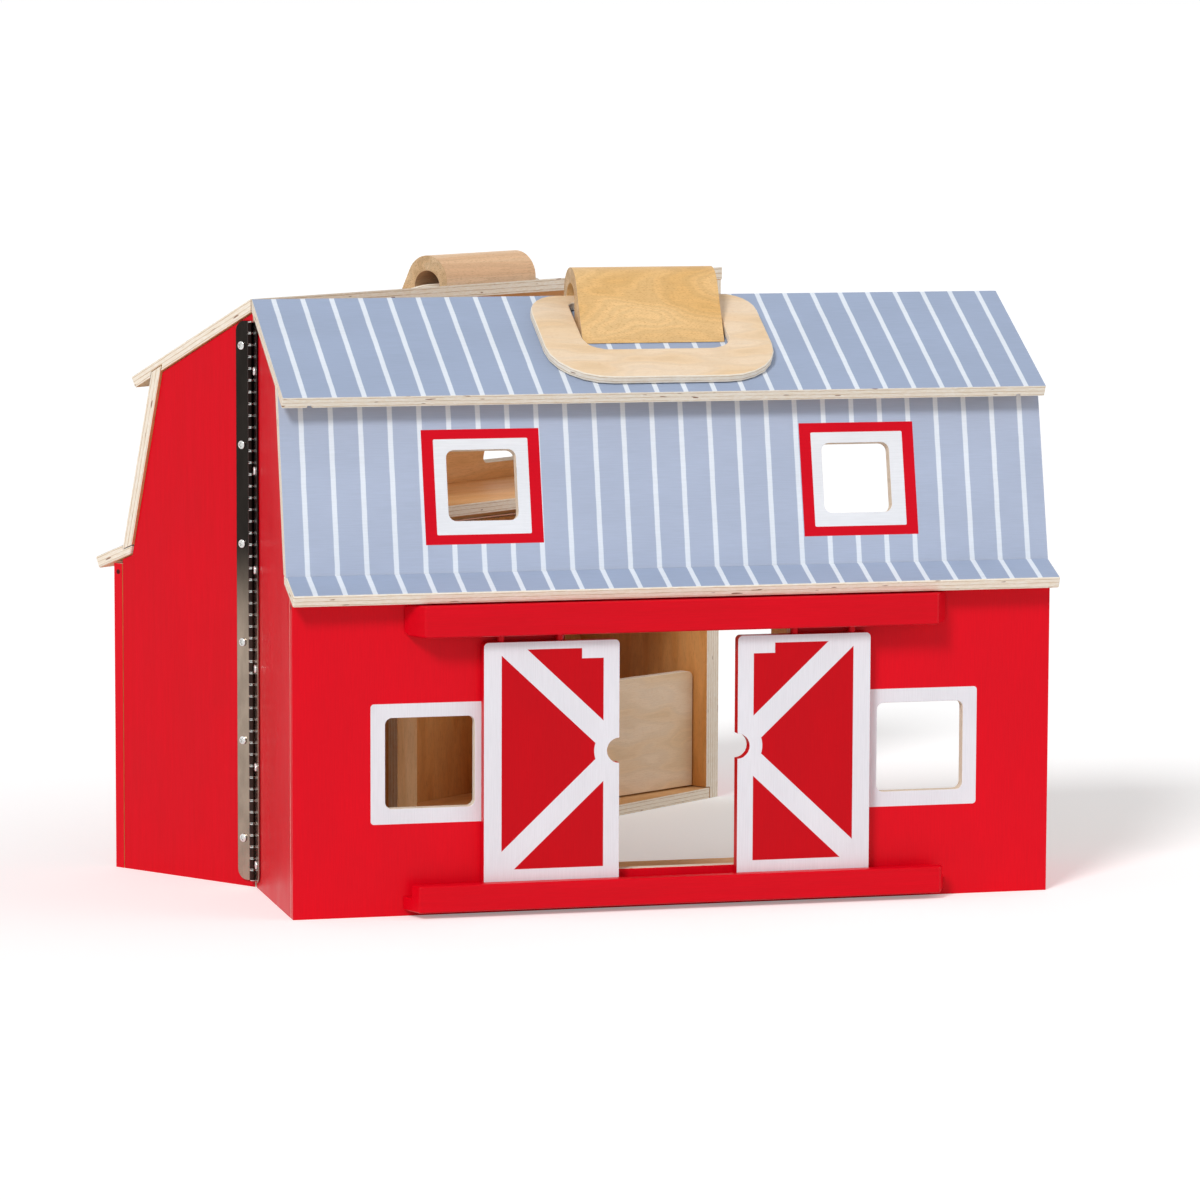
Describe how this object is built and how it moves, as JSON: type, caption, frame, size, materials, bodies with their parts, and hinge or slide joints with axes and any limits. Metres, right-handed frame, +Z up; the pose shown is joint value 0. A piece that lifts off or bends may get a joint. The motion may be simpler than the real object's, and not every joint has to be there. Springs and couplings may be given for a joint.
{
  "type": "toy barn",
  "caption": "Wooden toy barn in two hinged halves with sliding front doors, loft windows, stalls, a swinging stall gate and folding carry rings on the roof.",
  "frame": {"origin": "middle of the front half's underside, on the floor it stands on", "axes": "+X along the front to the right, +Y from the front wall into the barn, +Z up"},
  "size_m": [0.4003, 0.3808, 0.2746],
  "materials": {
    "red_painted_ply": "satin red paint on plywood",
    "blue_painted_ply": "satin grey-blue paint on plywood",
    "birch": "bare sanded plywood",
    "beech": "clear-coated solid wood",
    "steel": "bright plated steel"
  },
  "bodies": {
    "front_half": {"front_wall": "red_painted_ply", "front_left_gable": "red_painted_ply", "front_right_gable": "red_painted_ply", "front_upper_roof": "blue_painted_ply", "front_steep_roof": "blue_painted_ply", "front_flare_roof": "blue_painted_ply", "front_floor": "birch", "front_loft": "birch", "front_grip_hood": "beech", "front_hinge_leaf": "steel", "front_hinge_screw_1": "steel", "front_hinge_screw_2": "steel", "front_hinge_screw_3": "steel", "front_hinge_screw_4": "steel", "front_hinge_screw_5": "steel", "front_hinge_screw_6": "steel", "front_left_partition": "birch", "front_right_partition": "birch", "header_rail": "red_painted_ply", "bottom_rail": "red_painted_ply", "hinge_pin": "steel"},
    "rear_half": {"rear_wall": "red_painted_ply", "rear_left_gable": "red_painted_ply", "rear_right_gable": "red_painted_ply", "rear_upper_roof": "blue_painted_ply", "rear_steep_roof": "blue_painted_ply", "rear_flare_roof": "blue_painted_ply", "rear_floor": "birch", "rear_loft": "birch", "rear_grip_hood": "beech", "rear_hinge_leaf": "steel", "rear_hinge_screw_1": "steel", "rear_hinge_screw_2": "steel", "rear_hinge_screw_3": "steel", "rear_hinge_screw_4": "steel", "rear_hinge_screw_5": "steel", "rear_hinge_screw_6": "steel", "rear_partition": "birch", "rear_post": "birch", "stall_divider": "birch", "gate_pin": "steel", "gate_bracket": "steel"},
    "left_door": {"left_door": "red_painted_ply", "left_door_outer_pin": "red_painted_ply", "left_door_inner_pin": "red_painted_ply"},
    "right_door": {"right_door": "red_painted_ply", "right_door_outer_pin": "red_painted_ply", "right_door_inner_pin": "red_painted_ply"},
    "front_ring": {"front_carry_ring": "birch"},
    "rear_ring": {"rear_carry_ring": "birch"},
    "gate": {"stall_gate": "birch"}
  },
  "joints": [
    {"name": "barn_hinge", "type": "hinge", "parent": "front_half", "child": "rear_half", "pos_m": [-0.17175, 0.0425, 0.127], "axis": [0, 0, 1], "range_deg": [-37.4, 142.6]},
    {"name": "left_door_slide", "type": "slide", "parent": "front_half", "child": "left_door", "axis": [1, 0, 0], "range_m": [-0.0229, 0.0272]},
    {"name": "right_door_slide", "type": "slide", "parent": "front_half", "child": "right_door", "axis": [1, 0, 0], "range_m": [-0.0254, 0.025]},
    {"name": "front_ring_swing", "type": "hinge", "parent": "front_half", "child": "front_ring", "pos_m": [0.0014, 0.03224, 0.26191], "axis": [-1, 0, 0], "range_deg": [0, 117.7]},
    {"name": "rear_ring_swing", "type": "hinge", "parent": "rear_half", "child": "rear_ring", "pos_m": [-0.04432, 0.15284, 0.26191], "axis": [0.7944, 0.6074, 0], "range_deg": [0, 117.7]},
    {"name": "gate_swing", "type": "hinge", "parent": "rear_half", "child": "gate", "pos_m": [0.0251, 0.21566, 0.035], "axis": [0, 0, -1], "range_deg": [-5.8, 84.2]}
  ]
}
